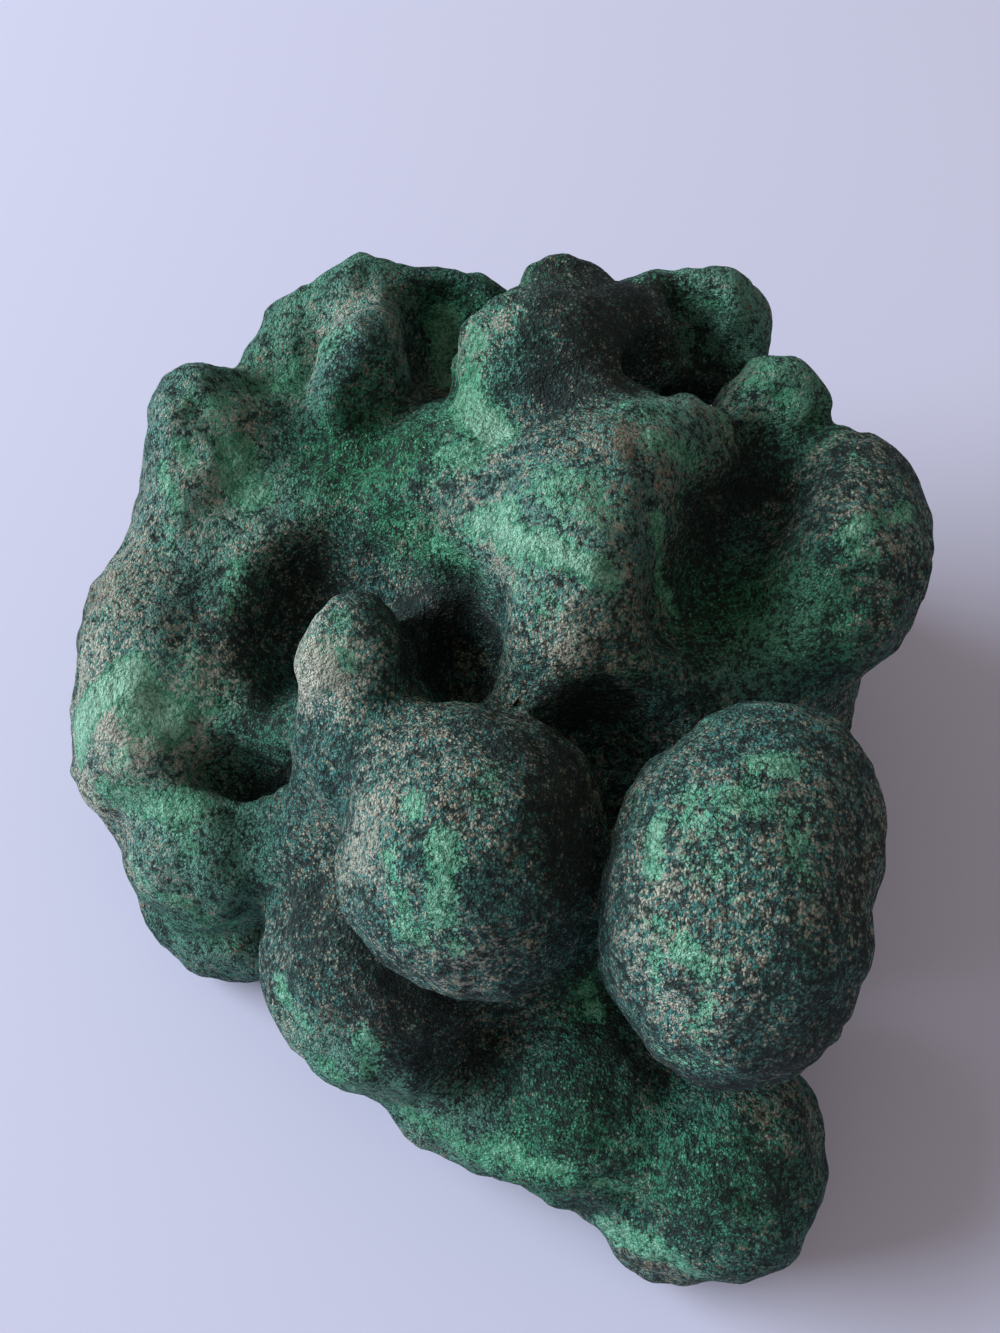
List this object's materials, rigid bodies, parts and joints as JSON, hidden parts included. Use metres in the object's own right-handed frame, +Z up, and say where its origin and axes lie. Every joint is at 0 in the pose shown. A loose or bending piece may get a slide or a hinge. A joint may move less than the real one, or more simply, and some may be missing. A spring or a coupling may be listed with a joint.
{
  "type": "malachite specimen",
  "caption": "Hand-size botryoidal malachite specimen: rounded velvety dark green lobes with mint patches, flat underneath so that it stands on a shelf.",
  "frame": {"origin": "centre of the specimen's outline box, on the flat rest face underneath", "axes": "+Z up from the rest face, +X to the right and +Y to the back, with the two big balls at the front"},
  "size_m": [0.081, 0.092, 0.051],
  "materials": {
    "malachite": "dull velvet of fine crystals, dark green with mint patches"
  },
  "bodies": {
    "root": {"malachite_stone": "malachite"}
  },
  "joints": []
}
